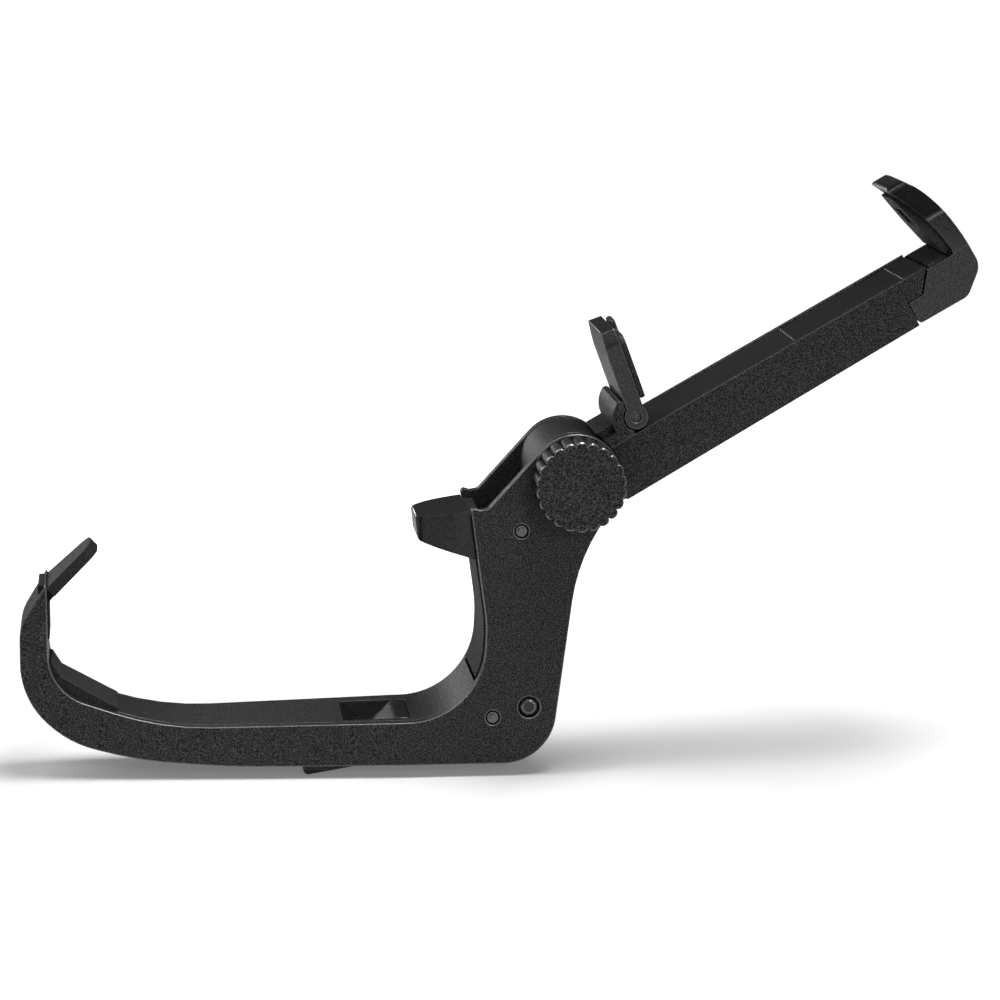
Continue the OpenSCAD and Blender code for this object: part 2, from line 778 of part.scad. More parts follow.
module jaw_bracket() {
    color(grained) on_arm() difference() {
        union() {
            along_y(-jaw_half, jaw_half) difference() {
                union() {
                    translate([6, arm_top]) square([9.2, 1.9]);
                    backstop_profile();
                }
                translate(hinge) circle(knuckle_r + side_gap);
            }
            along_y(-block_half, block_half) translate([6, arm_top]) square([6, 3.5]);
            along_y(-centre_half, centre_half) {
                translate(hinge) circle(knuckle_r);
                polygon([[13.5, arm_top], [hinge.x - 0.6, arm_top], hinge + [-0.6, 0], hinge + [-1.2, 2], [13.5, arm_top + 3.6]]);
            }
        }
        rotate([90, 0, 0]) cylinder(h = frame_w, r = hub_r + 0.5, center = true);
        both_sides() translate([5, block_half, arm_top + 1.3]) cube([7, 0.6, 3]);
        translate([hinge.x, 0, hinge.y]) rotate([90, 0, 0])
            cylinder(h = frame_w, r = hinge_pin_r + seat, center = true);
        both_sides() translate([arm_screw_u, arm_screw_y, arm_top - 1]) cylinder(h = 2.5, r = screw_r + seat);
    }
}

module jaw_hinge_pin() {
    color(steel) on_arm() translate([hinge.x, 0, hinge.y]) rotate([90, 0, 0])
        cylinder(h = 2 * jaw_half - 1.2, r = hinge_pin_r, center = true);
}

// The lower jaw seen along the arm: straight sides that round in to its top
module jaw_front(half, shoulder, top, top_half) {
    polygon(rounded([
        [-half, 0, 0], [-half, shoulder, 3], [-top_half, top, 1.2],
        [top_half, top, 1.2], [half, shoulder, 3], [half, 0, 0]
    ]));
}

module lower_jaw() {
    lug_gap = centre_half + side_gap;
    color(satin) on_jaw() difference() {
        union() {
            intersection() {
                along_y(-jaw_half, jaw_half) polygon([
                    [jaw_back, 0], [jaw_back + jaw_t, 0], [jaw_back + jaw_t, jaw_shoulder],
                    [jaw_back + jaw_t - 0.15, jaw_h], [jaw_back + 0.4, jaw_h], [jaw_back, jaw_shoulder - 2]
                ]);
                translate([jaw_back - 1, 0, 0]) rotate([90, 0, 90]) linear_extrude(jaw_t + 2)
                    jaw_front(jaw_half, jaw_shoulder, jaw_h, jaw_half - 1.9);
            }
            rotate([90, 0, 0]) cylinder(h = 2 * jaw_half, r = knuckle_r, center = true);
        }
        translate([-6, -lug_gap, -4]) cube([12, 2 * lug_gap, 4 + knuckle_r + side_gap]);
        rotate([90, 0, 0]) cylinder(h = frame_w, r = hinge_pin_r + run_fit, center = true);
    }
}

// The pad on the jaw's face, with a tab in its middle that stands above the jaw's top
module lower_jaw_pad() {
    pad_half = jaw_half - 0.6;
    pad_low = knuckle_r + 0.8;
    pad_top = jaw_h - 1.9;
    tab_half = 3.4;
    color(soft) on_jaw() translate([jaw_back + jaw_t, 0, 0]) rotate([90, 0, 90]) linear_extrude(jaw_pad_t)
        polygon(rounded([
            [-pad_half, pad_low, 0.6], [-pad_half, pad_top, 2.5], [-tab_half, pad_top, 0.8],
            [-tab_half, jaw_h + 0.5, 0.8], [tab_half, jaw_h + 0.5, 0.8], [tab_half, pad_top, 0.8],
            [pad_half, pad_top, 2.5], [pad_half, pad_low, 0.6]
        ]));
}

// The block at the arm's end that carries the finger and closes on the arm's stepped end
module upper_block_outline() {
    polygon(rounded([
        [arm_len + joint_gap, arm_top - 0.6, 0],
        [joint_u + 3.4 + joint_gap, joint_v - joint_gap, 0],
        [joint_u + joint_gap, joint_v - joint_gap, 0],
        [joint_u + joint_gap, jaw_low, 0.6],
        [arm_len + 4.9, jaw_low, 3],
        [arm_len + 10.1, arm_top - 5.3, 4],
        [finger_out, finger_foot, 0],
        [finger_in, finger_foot, 0],
        [finger_in, arm_top - 0.6, 0]
    ]));
}

module upper_jaw() {
    color(grained) on_arm() difference() {
        along_y(-arm_half, arm_half) upper_block_outline();
        translate([0, -pocket_half, arm_top - 1.6]) cube([finger_in - 0.6, 2 * pocket_half, 5]);
        translate([0, -rail_half, rail_low]) cube([rail_end, 2 * rail_half, rail_high - rail_low]);
        for (u = rail_screw_us) translate([u, 0, jaw_low - 1]) {
            cylinder(h = 6, r = screw_r + 0.2);
            cylinder(h = 2, r = screw_head_r + 0.15);
        }
    }
}

rail_screw_us = [arm_len - 2, arm_len + 2];

module rail_screws() {
    color(steel) on_arm() for (u = rail_screw_us) translate([u, 0, jaw_low + 0.1]) {
        cylinder(h = screw_head_t - 0.1, r = screw_head_r);
        cylinder(h = 4.5, r = screw_r);
    }
}

// The finger's inner curve, moved along the arm by an inset
function finger_inner(inset) = curve(
    [finger_out - 9, finger_top - 0.5], [finger_out - 6.6 + inset, finger_foot + 0.74 * finger_h],
    [finger_out - 3.8 + inset, finger_foot + 0.36 * finger_h], [finger_in + inset, finger_foot]);

// The finger's side profile, between its outer and inner curves
module finger_profile(inset) {
    outer = curve(
        [finger_out, finger_foot], [finger_out - 0.3, finger_foot + 0.39 * finger_h],
        [finger_out - 2.2, finger_foot + 0.86 * finger_h], [finger_out - 5.6, finger_top]);
    polygon(concat(outer, [[finger_out - 8.5, finger_top]], finger_inner(inset)));
}

// The finger seen along the arm: upright sides that round in to its tip
module finger_front(half, top_half, low, high) {
    polygon(rounded([
        [-half, low, 0], [-half, low + 0.5 * (high - low), 5], [-top_half, high, 2.5],
        [top_half, high, 2.5], [half, low + 0.5 * (high - low), 5], [half, low, 0]
    ]));
}

module jaw_finger() {
    color(gloss) on_arm() difference() {
        intersection() {
            along_y(-arm_half, arm_half) finger_profile(0);
            translate([finger_in - 12, 0, 0]) rotate([90, 0, 90]) linear_extrude(20)
                finger_front(arm_half, finger_tip_w / 2, finger_foot, finger_top);
        }
        intersection() {
            along_y(-lid_half, lid_half) difference() {
                translate([finger_in - 15, finger_foot]) square([20, finger_h - 2.4]);
                finger_profile(1.2);
            }
            translate([finger_in - 12, 0, 0]) rotate([90, 0, 90]) linear_extrude(20)
                finger_front(lid_half, finger_tip_w / 2 - 1.6, finger_foot - 1, finger_top - 2);
        }
    }
}

// The finger's soft pad, which fills the finger's hollow face and has a window through it
module finger_pad() {
    pad_half = lid_half - 0.3;
    pad_low = finger_foot + 0.6;
    pad_high = finger_top - 2.9;
    window = [finger_foot + 0.42 * finger_h, finger_foot + 0.66 * finger_h];
    color(soft) on_arm() difference() {
        intersection() {
            along_y(-pad_half, pad_half) polygon(concat(
                [[finger_in - finger_pad_t, finger_foot], [finger_out - 9.3, finger_top]],
                finger_inner(1.2)));
            translate([finger_in - 12, 0, 0]) rotate([90, 0, 90]) linear_extrude(20)
                finger_front(pad_half, finger_tip_w / 2 - 1.9, pad_low, pad_high);
        }
        translate([finger_in - 12, -3.6, window.x]) cube([20, 7.2, window.y - window.x]);
    }
}

// The ribbed soft pad at the finger's foot, with its ribs along the arm
module ribbed_pad() {
    pad_half = pocket_half - 0.1;
    base_t = 0.6;
    rib_h = 0.9;
    pitch = 2 * pad_half / floor_ribs;
    start = arm_len + joint_gap + 0.1;
    color(soft) on_arm() translate([0, 0, arm_top - 1.6]) {
        translate([start - 0.4, -pad_half, 0]) cube([finger_in - 0.7 - start + 0.4, 2 * pad_half, base_t]);
        for (i = [0:floor_ribs - 1])
            translate([start, -pad_half + (i + 0.2) * pitch, base_t])
                cube([finger_in - 2.6 - start, 0.6 * pitch, rib_h]);
    }
}

// The hollow rail that carries the upper jaw inside the arm
module slide_rail() {
    color(satin) on_arm() difference() {
        translate([rail_start, -rail_half, rail_low]) cube([rail_end - rail_start, 2 * rail_half, rail_high - rail_low]);
        translate([rail_start - 1, rail_wall - rail_half, rail_low - 1])
            cube([spring_end - rail_start + 1, 2 * (rail_half - rail_wall), rail_high - rail_wall - rail_low + 1]);
        for (u = rail_screw_us) translate([u, 0, rail_low - 1]) cylinder(h = 4.5, r = screw_r + seat);
    }
}

// Two long springs that pull the upper jaw back, each from a post on the arm to the rail
module jaw_springs() {
    turns = 12;
    steps = 10;
    first = spring_start + 2.4;
    last = spring_end - 1;
    color(steel) on_arm() for (side = [-1, 1]) {
        coil = [for (i = [0:turns * steps])
            let (a = 90 + 360 * i / steps)
            [first + (last - first) * i / (turns * steps),
                side * spring_y + coil_r * cos(a), spring_v + coil_r * sin(a)]];
        wire(coil, 0.3, 5, [1, 0, 0]);
    }
}

main_shell();
front_cover();
cover_screws();
hook_tip();
corner_pad();
clamp_pin();
clamp_spring();
clamp_lever();
clamp_nose();
nose_screw();
release_tab();
release_pin();
release_spring();
pivot_bolt();
knob_washer();
friction_washers();
pivot_bush();
clamp_knob();
knob_insert();
arm_channel();
arm_cover();
arm_inlay();
arm_end_cap();
arm_screws();
jaw_bracket();
jaw_hinge_pin();
lower_jaw();
lower_jaw_pad();
upper_jaw();
jaw_finger();
finger_pad();
ribbed_pad();
slide_rail();
rail_screws();
jaw_springs();
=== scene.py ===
# %% [markdown]
# # A phone clip for a game controller
# A hooked frame grips the controller, and a tilting arm carries two jaws for the phone.
# The solids come from the CAD model, which is loaded first and never moved or changed.
# Each step below either gives a solid its finish or replaces it with a mesh that has the
# small radii, grain and details that a moulded part shows.

# %% Load the CAD model
import json
import math

import bmesh
import bpy
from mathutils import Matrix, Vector


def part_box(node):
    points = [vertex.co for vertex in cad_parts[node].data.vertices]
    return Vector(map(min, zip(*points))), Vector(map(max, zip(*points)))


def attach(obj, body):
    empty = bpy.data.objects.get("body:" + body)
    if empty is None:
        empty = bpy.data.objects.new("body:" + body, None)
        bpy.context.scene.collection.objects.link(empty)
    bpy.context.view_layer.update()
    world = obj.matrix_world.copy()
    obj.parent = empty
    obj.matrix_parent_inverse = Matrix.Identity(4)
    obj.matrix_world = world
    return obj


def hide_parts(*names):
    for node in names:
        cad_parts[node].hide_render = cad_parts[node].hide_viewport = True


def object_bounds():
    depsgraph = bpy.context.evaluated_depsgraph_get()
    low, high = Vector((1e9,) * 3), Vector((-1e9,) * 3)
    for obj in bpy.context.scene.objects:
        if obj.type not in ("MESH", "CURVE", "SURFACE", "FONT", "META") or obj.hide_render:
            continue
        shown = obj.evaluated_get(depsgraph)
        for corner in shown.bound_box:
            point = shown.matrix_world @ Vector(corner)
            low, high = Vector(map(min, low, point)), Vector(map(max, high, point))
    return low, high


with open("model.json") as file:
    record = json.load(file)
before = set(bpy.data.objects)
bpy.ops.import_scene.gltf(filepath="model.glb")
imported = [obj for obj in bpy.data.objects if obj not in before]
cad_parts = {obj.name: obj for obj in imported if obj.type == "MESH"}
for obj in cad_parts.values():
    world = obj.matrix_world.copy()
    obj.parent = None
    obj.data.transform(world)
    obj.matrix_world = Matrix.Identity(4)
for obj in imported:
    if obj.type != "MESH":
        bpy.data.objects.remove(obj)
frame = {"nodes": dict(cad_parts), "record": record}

CAD_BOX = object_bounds()
NODES = frame["nodes"]
BODY_OF = {
    node: body
    for body, members in frame["record"]["behaviour"]["bodies"].items()
    for node in members
}
SLOT_OF = {part["node"]: part["material_slot"] for part in frame["record"]["subparts"]}
MM = 0.001
scene = bpy.context.scene
scene.view_settings.view_transform = "Standard"

# %% [markdown]
# ## Camera
# The photograph was taken from a little left of square-on and a little above, with a long
# lens. A long lens keeps the far plate almost as large as the near one, so the focal length
# matters as much as the direction. The numbers were solved from the knob's two rims and the
# frame's two side faces.

# %% Place the camera
CAMERA_AT = Vector((-68.75, -822.0, 188.67)) * MM
LOOK = Vector((0.0929, 0.9823, -0.1625))
SENSOR_MM, LENS_MM = 36, 145.44
NEAREST, FARTHEST = 0.05, 20
camera_data = bpy.data.cameras.new("camera")
camera_data.sensor_width = SENSOR_MM
camera_data.lens = LENS_MM
camera_data.clip_start = NEAREST
camera_data.clip_end = FARTHEST
camera = bpy.data.objects.new("camera", camera_data)
scene.collection.objects.link(camera)
camera.location = CAMERA_AT
camera.rotation_mode = "QUATERNION"
camera.rotation_quaternion = LOOK.to_track_quat("-Z", "Y")
scene.camera = camera
print("camera at", tuple(round(c, 3) for c in camera.location))

# %% [markdown]
# ## Places along the arm
# The arm stands at an angle, so a box in the frame's own axes says little about what sits
# on it. The slide joint's axis gives the arm's direction, and the tilt joint its pivot.
# With those two, any solid can be measured along the arm, across it and up from it.

# %% Find the arm's axes
JOINTS = {joint["name"]: joint for joint in frame["record"]["behaviour"]["joints"]}
PIVOT = Vector(JOINTS["arm_tilt"]["pos_m"])
ALONG = Vector(JOINTS["jaw_slide"]["axis"]).normalized()
ACROSS = Vector((0, 1, 0))
UP = ALONG.cross(ACROSS).normalized()
ARM_TURN = -math.atan2(ALONG.z, ALONG.x)
print("the arm stands at", round(-math.degrees(ARM_TURN), 1), "degrees")


# %% Measure a solid on the arm
# Points closer than this, in metres, are taken as one.
WELD = 2e-6


def arm_box(node):
    """The lowest and highest corner of a node along, across and up from the arm."""
    points = [v.co - PIVOT for v in NODES[node].data.vertices]
    spans = [[p.dot(axis) for p in points] for axis in (ALONG, ACROSS, UP)]
    return Vector(min(s) for s in spans), Vector(max(s) for s in spans)


print("the arm's cover reaches", [round(c / MM, 1) for c in arm_box("arm_cover")[1]], "mm")


# %% Find where each solid of a node starts
def solids_of(node):
    """The points of each separate solid in a node."""
    shape = bmesh.new()
    shape.from_mesh(NODES[node].data)
    bmesh.ops.remove_doubles(shape, verts=shape.verts, dist=WELD)
    left, groups = set(shape.verts), []
    while left:
        group, edge = set(), [left.pop()]
        while edge:
            vertex = edge.pop()
            group.add(vertex)
            near = {e.other_vert(vertex) for e in vertex.link_edges} & left
            left -= near
            edge.extend(near)
        groups.append([vertex.co.copy() for vertex in group])
    shape.free()
    return sorted(groups, key=lambda group: min(p.z for p in group))


def lowest_ends(node, axis):
    """Where each solid of a node starts along an axis, on its own centre line."""
    ends = []
    for points in solids_of(node):
        first = min(p.dot(axis) for p in points)
        low = Vector(min(p[i] for p in points) for i in range(3))
        high = Vector(max(p[i] for p in points) for i in range(3))
        middle = (low + high) / 2
        ends.append(middle + axis * (first - middle.dot(axis)))
    return ends


for end in lowest_ends("cover_screws", ACROSS):
    print("a cover screw starts at", [round(c / MM, 1) for c in end], "mm")

# %% [markdown]
# ## Floor, world and lamps
# Black plastic shows almost nothing but what it reflects, so the light is the picture.
# A long panel overhead and a tall one to the left give the tops and the rounded edges
# their pale lines. A small panel and a low card in front lift the grain on the side faces,
# and a weak panel behind gives a soft sheen to the faces that lean back. A brighter world
# could give the white backdrop too, but it would turn the black plastic grey. So the world
# stays dim for the object, and is white only where the camera looks past it.


# %% A helper for shader nodes
def shader_tree(material):
    """Empties a material's node tree and returns it with a function that adds nodes."""
    material.use_nodes = True
    tree = material.node_tree
    tree.nodes.clear()

    def add(kind, operation=None):
        node = tree.nodes.new(kind)
        if operation:
            node.operation = operation
        return node

    return tree, add


# %% Make the floor
# The floor lies a hair below the clip and reaches this many metres to each side.
FLOOR_Z = CAD_BOX[0][2] - 0.1 * MM
FLOOR_HALF = 6.0
CORNERS = [(-1, -1), (1, -1), (1, 1), (-1, 1)]
floor_mesh = bpy.data.meshes.new("floor")
floor_mesh.from_pydata(
    [(x * FLOOR_HALF, y * FLOOR_HALF, FLOOR_Z) for x, y in CORNERS], [], [(0, 1, 2, 3)]
)
floor = bpy.data.objects.new("floor", floor_mesh)
scene.collection.objects.link(floor)
print("floor at", round(FLOOR_Z / MM, 2), "mm")

# %% Give the floor its paper
# The paper glows towards the camera, weakly at the object and strongly far from it, so
# that it keeps the object's shadow and still runs into the white behind without an edge.
PAPER = 0.55
GLOW_NEAR, GLOW_FAR = 0.17, 1.0
# The distances from the origin, in metres, over which the glow grows.
GLOW_FROM, GLOW_TO = 0.09, 0.24
floor_finish = bpy.data.materials.new("floor paper")
tree, add = shader_tree(floor_finish)
link = tree.links.new
output = add("ShaderNodeOutputMaterial")
paper = add("ShaderNodeBsdfPrincipled")
paper.inputs["Base Color"].default_value = (PAPER, PAPER, PAPER, 1)
paper.inputs["Roughness"].default_value = 0.9
paper.inputs["Specular IOR Level"].default_value = 0.0
glow = add("ShaderNodeEmission")
place = add("ShaderNodeTexCoord")
away = add("ShaderNodeVectorMath", "LENGTH")
ramp = add("ShaderNodeMapRange")
ramp.inputs["From Min"].default_value = GLOW_FROM
ramp.inputs["From Max"].default_value = GLOW_TO
ramp.inputs["To Min"].default_value = GLOW_NEAR
ramp.inputs["To Max"].default_value = GLOW_FAR
path = add("ShaderNodeLightPath")
seen = add("ShaderNodeMath", "MULTIPLY")
joined = add("ShaderNodeAddShader")
link(place.outputs["Object"], away.inputs[0])
link(away.outputs["Value"], ramp.inputs["Value"])
link(path.outputs["Is Camera Ray"], seen.inputs[0])
link(ramp.outputs["Result"], seen.inputs[1])
link(seen.outputs[0], glow.inputs["Strength"])
link(paper.outputs[0], joined.inputs[0])
link(glow.outputs[0], joined.inputs[1])
link(joined.outputs[0], output.inputs["Surface"])
floor_mesh.materials.append(floor_finish)
print("the paper glows by", GLOW_NEAR, "at the clip and", GLOW_FAR, "far from it")

# %% Light the world
# The black plastic in the photograph mirrors no white, so mirrored rays see the dim room.
ROOM_LIGHT, BACKDROP_LIGHT = 0.06, 1.0
WHITE = (1, 1, 1, 1)
world = bpy.data.worlds.new("studio")
scene.world = world
tree, add = shader_tree(world)
output = add("ShaderNodeOutputWorld")
room = add("ShaderNodeBackground")
room.inputs["Color"].default_value = WHITE
room.inputs["Strength"].default_value = ROOM_LIGHT
backdrop = add("ShaderNodeBackground")
backdrop.inputs["Color"].default_value = WHITE
backdrop.inputs["Strength"].default_value = BACKDROP_LIGHT
path = add("ShaderNodeLightPath")
past = add("ShaderNodeMath", "MAXIMUM")
tree.links.new(path.outputs["Is Camera Ray"], past.inputs[0])
tree.links.new(path.outputs["Is Transmission Ray"], past.inputs[1])
pick = add("ShaderNodeMixShader")
tree.links.new(past.outputs[0], pick.inputs["Fac"])
tree.links.new(room.outputs[0], pick.inputs[1])
tree.links.new(backdrop.outputs[0], pick.inputs[2])
tree.links.new(pick.outputs[0], output.inputs["Surface"])
print("world at", ROOM_LIGHT, "for the clip and", BACKDROP_LIGHT, "for the camera")

# %% Hang the lamps
# The lamps face the middle of the clip.
MIDDLE = Vector((0.01, 0, 0.05))


def panel(name, at, size, power, spread=180):
    """A rectangular soft box that faces the object, in metres, watts and degrees."""
    data = bpy.data.lights.new(name, "AREA")
    data.shape = "RECTANGLE"
    data.size, data.size_y = size
    data.energy = power
    data.spread = math.radians(spread)
    lamp = bpy.data.objects.new(name, data)
    scene.collection.objects.link(lamp)
    lamp.location = at
    lamp.rotation_mode = "QUATERNION"
    lamp.rotation_quaternion = (MIDDLE - Vector(at)).to_track_quat("-Z", "Y")
    lamp.visible_camera = False


panel("top panel", (0.15, -0.06, 0.7), (0.7, 0.18), 1.7, spread=75)
panel("left panel", (-0.45, -0.15, 0.55), (0.25, 0.7), 2.6)
panel("front panel", (0.25, -0.9, 0.33), (0.15, 0.12), 1.7)
panel("front card", (0.13, -0.36, 0.04), (0.3, 0.06), 0.1)
panel("back panel", (-0.26, 0.95, 0.17), (0.16, 0.2), 0.6)
print("lamps hung")

# %% [markdown]
# ## Finishes
# All the plastic is the same black, and what tells the parts apart is the surface: spark
# grain on the frame, the knob and the arm, satin on the arm's cover and the jaws, and gloss
# on the nose, the inlay and the finger. Each finish is one recipe with different numbers,
# so that they stay related. The grain is a height, a change of tint and a change of gloss
# at once, because each speck of real grain also catches its own light.

# %% Set what all finishes share
# The slow patches' scale per metre, and the noise values that the grain is stretched between.
PATCH_SCALE = 45
GRAIN_LOW, GRAIN_HIGH = 0.42, 0.66
# The darkest and lightest tint, as shares of the colour.
TINT_LOW, TINT_HIGH = 0.2, 2.2
# How far the grain moves the roughness, and the share of the gloss that it moves.
ROUGHNESS_SWING, GLOSS_SWING = 0.07, 0.88
print("the tint goes from", TINT_LOW, "to", TINT_HIGH, "times the colour")


# %% A recipe for the clip's finishes
def clip_finish(name, colour, roughness, grain_size=0.4, grain_depth=0.0, speckle=0.3,
                gloss=0.45, metallic=0.0):
    """A finish. grain_size and grain_depth are the grain's width and height in mm."""
    material = bpy.data.materials.new(name)
    tree, add = shader_tree(material)
    link = tree.links.new
    output = add("ShaderNodeOutputMaterial")
    body = add("ShaderNodeBsdfPrincipled")
    body.inputs["Metallic"].default_value = metallic
    body.inputs["Specular IOR Level"].default_value = gloss
    place = add("ShaderNodeTexCoord").outputs["Object"]

    def noise(scale, detail, fineness):
        texture = add("ShaderNodeTexNoise")
        texture.inputs["Scale"].default_value = scale
        texture.inputs["Detail"].default_value = detail
        texture.inputs["Roughness"].default_value = fineness
        link(place, texture.inputs["Vector"])
        return texture.outputs["Fac"]

    def stretched(source, first, last, low=0.0, high=1.0):
        ramp = add("ShaderNodeMapRange")
        ramp.inputs["From Min"].default_value = low
        ramp.inputs["From Max"].default_value = high
        ramp.inputs["To Min"].default_value = first
        ramp.inputs["To Max"].default_value = last
        link(source, ramp.inputs["Value"])
        return ramp.outputs["Result"]

    patches = noise(PATCH_SCALE, 3, 0.5)
    grain = stretched(noise(1000 / grain_size, 2, 0.6), 0.0, 1.0, GRAIN_LOW, GRAIN_HIGH)
    mixed = add("ShaderNodeMix")
    mixed.data_type = "FLOAT"
    mixed.inputs["Factor"].default_value = speckle
    link(patches, mixed.inputs["A"])
    link(grain, mixed.inputs["B"])
    tint = add("ShaderNodeMix")
    tint.data_type = "RGBA"
    tint.inputs["A"].default_value = tuple(c * TINT_LOW for c in colour) + (1,)
    tint.inputs["B"].default_value = tuple(c * TINT_HIGH for c in colour) + (1,)
    link(mixed.outputs["Result"], tint.inputs["Factor"])
    link(tint.outputs["Result"], body.inputs["Base Color"])

    rough, smooth = roughness + ROUGHNESS_SWING, roughness - ROUGHNESS_SWING
    link(stretched(grain, rough, smooth), body.inputs["Roughness"])
    if speckle:
        swing = GLOSS_SWING * speckle
        shine = stretched(grain, gloss * (1 - swing), gloss * (1 + swing))
        link(shine, body.inputs["Specular IOR Level"])
    if grain_depth:
        bump = add("ShaderNodeBump")
        bump.inputs["Strength"].default_value = 1.0
        bump.inputs["Distance"].default_value = grain_depth * MM
        link(grain, bump.inputs["Height"])
        link(bump.outputs["Normal"], body.inputs["Normal"])
    link(body.outputs[0], output.inputs["Surface"])
    return material


# %% Mix the finishes
FINISH = {
    "grained_black": clip_finish(
        "spark-grained black plastic", (0.009, 0.009, 0.0095), 0.4,
        grain_size=0.23, grain_depth=0.05, speckle=0.9,
    ),
    "satin_black": clip_finish(
        "satin black plastic", (0.006, 0.006, 0.0065), 0.29,
        grain_size=0.22, grain_depth=0.008, speckle=0.4,
    ),
    "gloss_black": clip_finish(
        "glossy black plastic", (0.004, 0.004, 0.0045), 0.2, grain_size=0.5, speckle=0.2
    ),
    "matt_black": clip_finish(
        "matt black plastic", (0.007, 0.007, 0.0075), 0.6,
        grain_size=0.25, grain_depth=0.01, speckle=0.4, gloss=0.22,
    ),
    "dark_rubber": clip_finish(
        "soft black rubber", (0.007, 0.007, 0.0075), 0.62,
        grain_size=0.25, grain_depth=0.02, speckle=0.5,
    ),
    "steel": clip_finish(
        "zinc-plated steel", (0.3, 0.3, 0.31), 0.35,
        grain_size=0.2, grain_depth=0.004, speckle=0.2, metallic=1.0,
    ),
    "dark_steel": clip_finish(
        "blackened steel", (0.09, 0.09, 0.094), 0.32,
        grain_size=0.2, grain_depth=0.004, metallic=1.0,
    ),
    "brass": clip_finish(
        "turned brass", (0.5, 0.35, 0.12), 0.3,
        grain_size=0.2, grain_depth=0.004, speckle=0.2, metallic=1.0,
    ),
}
print("mixed", len(FINISH), "finishes")

# %% Mix the edges' gloss and painted highlights and share the finishes out
# The edge finishes are smoother and glossier than the faces, and their lighter colour is a
# painted highlight along each rounded edge.
EDGE_GLOSS_AND_HIGHLIGHT = {
    "grained_black": clip_finish(
        "grained plastic edge with painted highlight", (0.07, 0.07, 0.072), 0.22, speckle=0.0, gloss=1.0
    ),
    "satin_black": clip_finish(
        "satin plastic edge with painted highlight", (0.05, 0.05, 0.052), 0.2, speckle=0.0, gloss=1.0
    ),
    "gloss_black": clip_finish(
        "glossy plastic edge with painted highlight", (0.03, 0.03, 0.032), 0.16, speckle=0.0, gloss=1.0
    ),
}
# The pins show black ends, and the lever and the hook's tip no sheen.
LOOK_OF = {
    **SLOT_OF,
    "clamp_pin": "gloss_black",
    "jaw_hinge_pin": "gloss_black",
    "clamp_lever": "matt_black",
    "hook_tip": "matt_black",
}
for node, solid in NODES.items():
    solid.data.materials.clear()
    solid.data.materials.append(FINISH[LOOK_OF[node]])
print("finishes given to", len(NODES), "solids")

# %% [markdown]
# ## Radii on the moulded edges
# A moulded edge is never sharp, and its small radius catches the light as a thin bright
# line. The CAD solids have no such radii. A bevel could be modelled edge by edge, but the
# Bevel modifier rounds every edge of a clean copy at once, which is what a tool maker does
# too. The copy's loose triangles are merged and its flat faces joined first. The new faces
# get a glossier finish, as the edges of black plastic have, and a lighter colour that is a
# painted highlight.


# %% A helper that rounds a part's edges
# An edge that bends more than EDGE_ANGLE is rounded, and faces that bend less than
# FLAT_ANGLE are joined.
EDGE_ANGLE, FLAT_ANGLE = math.radians(28), math.radians(0.8)
EDGE_STEPS = 2


def moulded(node, width):
    """Replaces a node by a copy with its edges rounded by width, in mm."""
    mesh = NODES[node].data.copy()
    shape = bmesh.new()
    shape.from_mesh(mesh)
    bmesh.ops.remove_doubles(shape, verts=shape.verts, dist=WELD)
    bmesh.ops.dissolve_limit(
        shape, angle_limit=FLAT_ANGLE, verts=shape.verts, edges=shape.edges
    )
    shape.to_mesh(mesh)
    shape.free()
    piece = bpy.data.objects.new(node.replace("_", "-"), mesh)
    scene.collection.objects.link(piece)
    mesh.materials.clear()
    mesh.materials.append(FINISH[LOOK_OF[node]])
    # The bevel's faces take the edge finish, whose lighter colour is a painted highlight.
    mesh.materials.append(EDGE_GLOSS_AND_HIGHLIGHT.get(LOOK_OF[node], FINISH[LOOK_OF[node]]))
    bevel = piece.modifiers.new("edge radius", "BEVEL")
    bevel.width = width * MM
    bevel.segments = EDGE_STEPS
    bevel.material = 1
    bevel.limit_method = "ANGLE"
    bevel.angle_limit = EDGE_ANGLE
    bevel.use_clamp_overlap = True
    bevel.harden_normals = True
    mesh.shade_smooth()
    mesh.set_sharp_from_angle(angle=EDGE_ANGLE)
    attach(piece, BODY_OF[node])
    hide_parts(node)


# %% Round the parts
# In mm.
EDGE_RADIUS = {
    "main_shell": 0.35,
    "front_cover": 0.45,
    "hook_tip": 0.3,
    "corner_pad": 0.2,
    "clamp_pin": 0.7,
    "clamp_lever": 0.2,
    "clamp_nose": 0.35,
    "release_tab": 0.25,
    "pivot_bolt": 0.2,
    "knob_washer": 0.1,
    "arm_channel": 0.45,
    "arm_cover": 0.2,
    "arm_inlay": 0.2,
    "arm_end_cap": 0.2,
    "jaw_bracket": 0.2,
    "jaw_hinge_pin": 0.15,
    "lower_jaw": 0.35,
    "lower_jaw_pad": 0.3,
    "upper_jaw": 0.35,
    "jaw_finger": 0.3,
    "finger_pad": 0.25,
    "slide_rail": 0.2,
}
for node, width in EDGE_RADIUS.items():
    moulded(node, width)
print("rounded", len(EDGE_RADIUS), "parts")

# %% [markdown]
# ## Repeats with Geometry Nodes
# The knob's lobes, the ribs on the rubber pad and the screws all repeat by a rule. A small
# node tree says the rule once, and its named inputs hold the sizes. Each tree places its
# shape on points that it is given, and the result is turned into a plain mesh at the end,
# because a modifier's instances wouldn't be exported.


